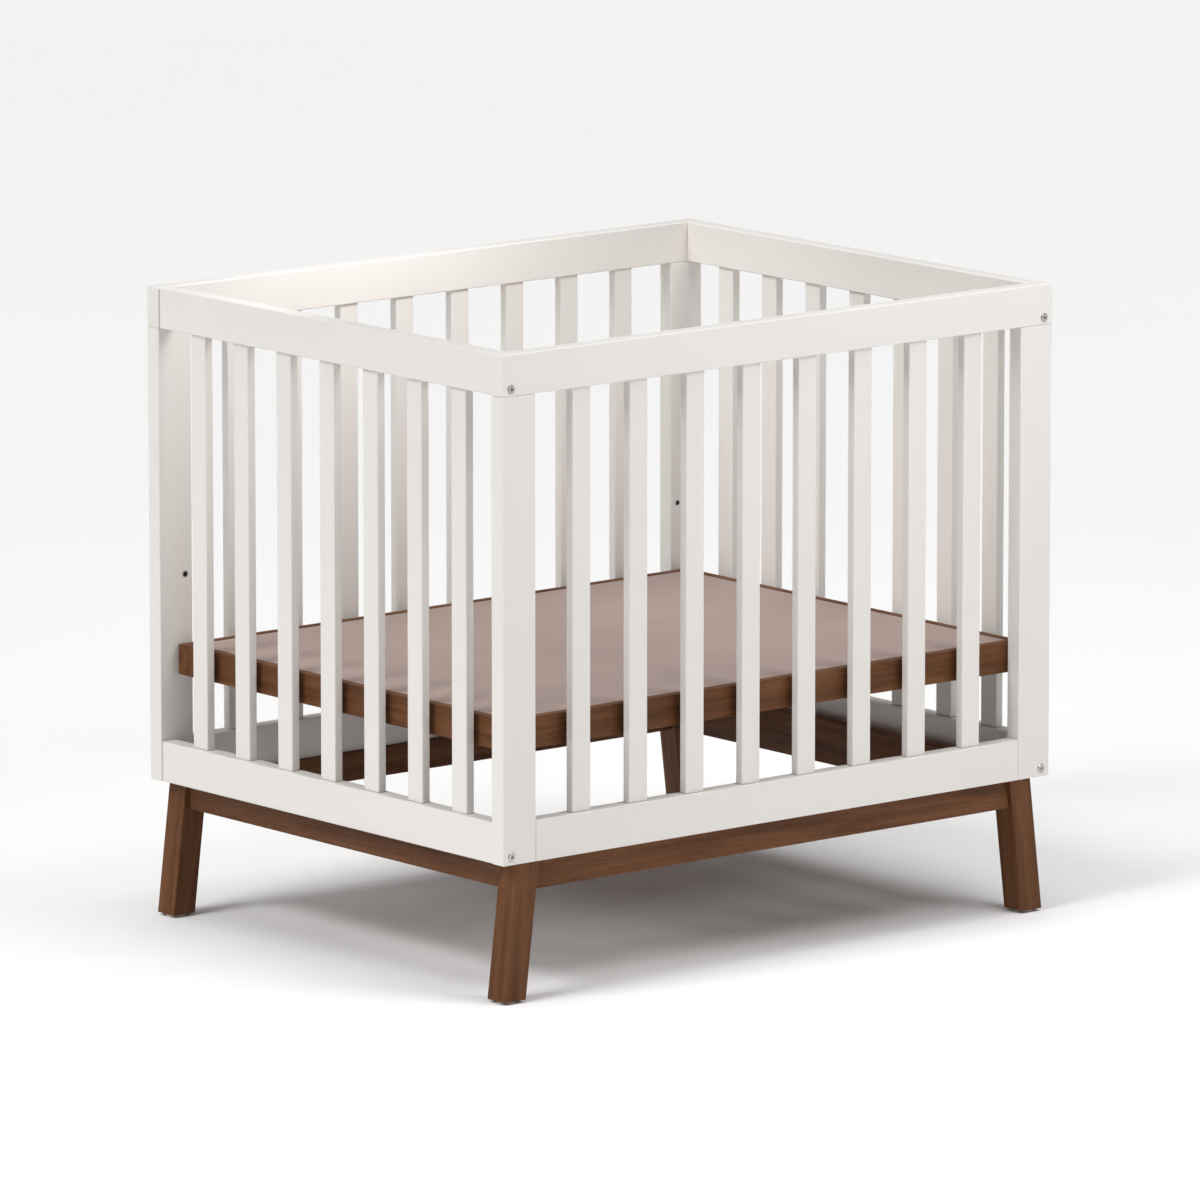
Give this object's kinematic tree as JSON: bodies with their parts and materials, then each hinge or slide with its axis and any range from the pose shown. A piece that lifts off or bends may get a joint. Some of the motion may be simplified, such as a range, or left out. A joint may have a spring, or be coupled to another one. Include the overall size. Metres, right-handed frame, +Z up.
{
  "type": "baby crib",
  "caption": "Slatted white crib on a splayed walnut base, with an internal mattress platform that moves between three heights.",
  "frame": {"origin": "on the floor, under the middle of the crib", "axes": "+X along the long sides, towards the right end; +Y from the front long side to the rear one; +Z up"},
  "size_m": [0.864, 0.6876, 0.782],
  "materials": {
    "white_paint": "smooth satin paint on solid wood",
    "walnut_stain": "satin walnut stain with the grain along each piece",
    "board_laminate": "matt taupe laminate on fibreboard",
    "zinc_steel": "bright zinc plate",
    "beech": "plain fluted beech dowel",
    "glide_nylon": "moulded nylon"
  },
  "bodies": {
    "crib_frame": {"front_top_rail": "white_paint", "front_bottom_rail": "white_paint", "front_left_post": "white_paint", "front_right_post": "white_paint", "front_slat_1": "white_paint", "front_slat_2": "white_paint", "front_slat_3": "white_paint", "front_slat_4": "white_paint", "front_slat_5": "white_paint", "front_slat_6": "white_paint", "front_slat_7": "white_paint", "front_slat_8": "white_paint", "rear_top_rail": "white_paint", "rear_bottom_rail": "white_paint", "rear_left_post": "white_paint", "rear_right_post": "white_paint", "rear_slat_1": "white_paint", "rear_slat_2": "white_paint", "rear_slat_3": "white_paint", "rear_slat_4": "white_paint", "rear_slat_5": "white_paint", "rear_slat_6": "white_paint", "rear_slat_7": "white_paint", "rear_slat_8": "white_paint", "left_top_rail": "white_paint", "left_bottom_rail": "white_paint", "left_slats": "white_paint", "right_top_rail": "white_paint", "right_bottom_rail": "white_paint", "right_slats": "white_paint", "front_left_leg": "walnut_stain", "front_right_leg": "walnut_stain", "rear_left_leg": "walnut_stain", "rear_right_leg": "walnut_stain", "front_apron": "walnut_stain", "rear_apron": "walnut_stain", "left_apron": "walnut_stain", "right_apron": "walnut_stain", "frame_bolts": "zinc_steel", "barrel_nuts": "zinc_steel", "threaded_inserts": "zinc_steel", "wood_dowels": "beech", "leg_bolts": "zinc_steel", "floor_glides": "glide_nylon"},
    "platform": {"platform_board": "board_laminate", "platform_front_rail": "walnut_stain", "platform_rear_rail": "walnut_stain", "platform_left_rail": "walnut_stain", "platform_right_rail": "walnut_stain", "platform_batten_1": "walnut_stain", "platform_batten_2": "walnut_stain", "platform_batten_3": "walnut_stain", "platform_bolts": "zinc_steel", "platform_screws": "zinc_steel"}
  },
  "joints": [
    {"name": "platform_height", "type": "slide", "parent": "crib_frame", "child": "platform", "axis": [0, 0, 1], "range_m": [-0.111, 0.111]}
  ]
}
